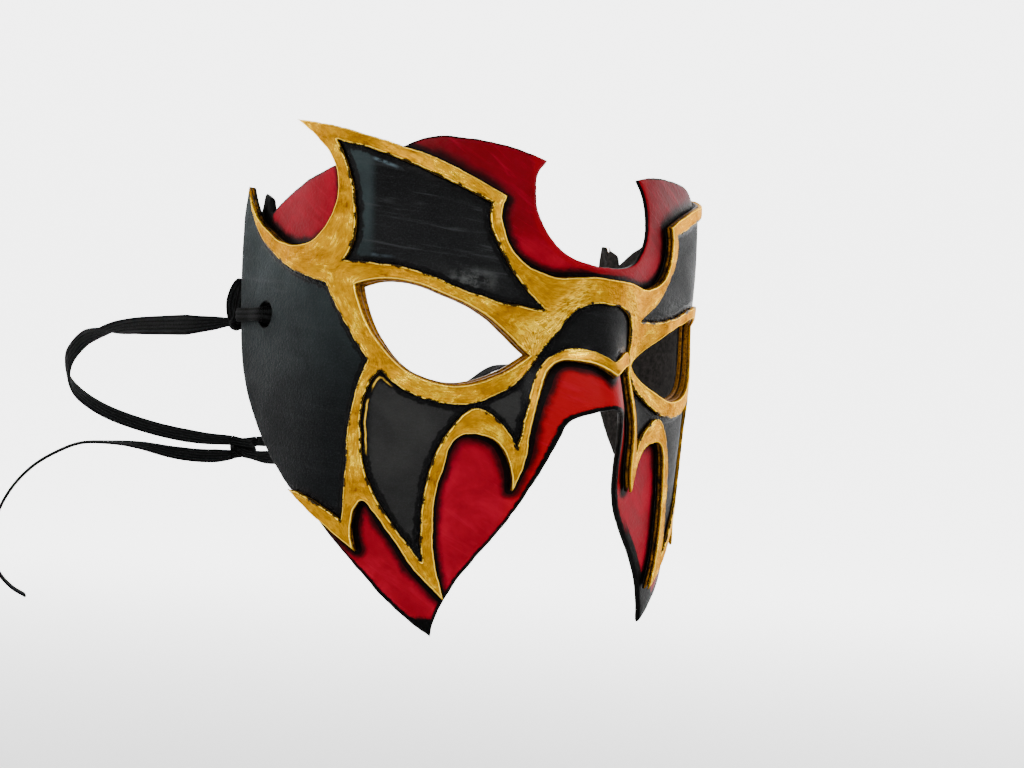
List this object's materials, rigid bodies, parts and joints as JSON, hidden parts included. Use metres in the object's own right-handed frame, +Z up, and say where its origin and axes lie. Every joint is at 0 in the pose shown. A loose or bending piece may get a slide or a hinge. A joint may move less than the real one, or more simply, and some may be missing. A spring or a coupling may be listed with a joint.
{
  "type": "wrestler's leather half mask",
  "caption": "formed leather half mask with horned brow, eye holes and cheek points, red base, black panels and raised gold frame, tied behind the head by a flat lace",
  "frame": {"origin": "on the mid line, level with the inner corners of the eyes, on the upright axis that the mask wraps, where the wearer's head is", "axes": "+Z up, the face looks along -Y, +X to the wearer's left"},
  "size_m": [0.2228, 0.2525, 0.1736],
  "materials": {
    "red_leather": "satin red paint on leather, shaded black at its edges",
    "black_leather": "satin black dyed leather",
    "gold_leather": "brushed gold paint on leather",
    "black_lace": "matt ribbed flat lace"
  },
  "bodies": {
    "root": {"red_base": "red_leather", "black_front": "black_leather", "gold_frame": "gold_leather", "hitch_left": "black_lace", "hitch_right": "black_lace", "temple_knot_left": "black_lace", "temple_knot_right": "black_lace", "lace_left": "black_lace", "lace_right": "black_lace", "back_knot": "black_lace", "lace_end_left": "black_lace", "lace_end_right": "black_lace"}
  },
  "joints": []
}
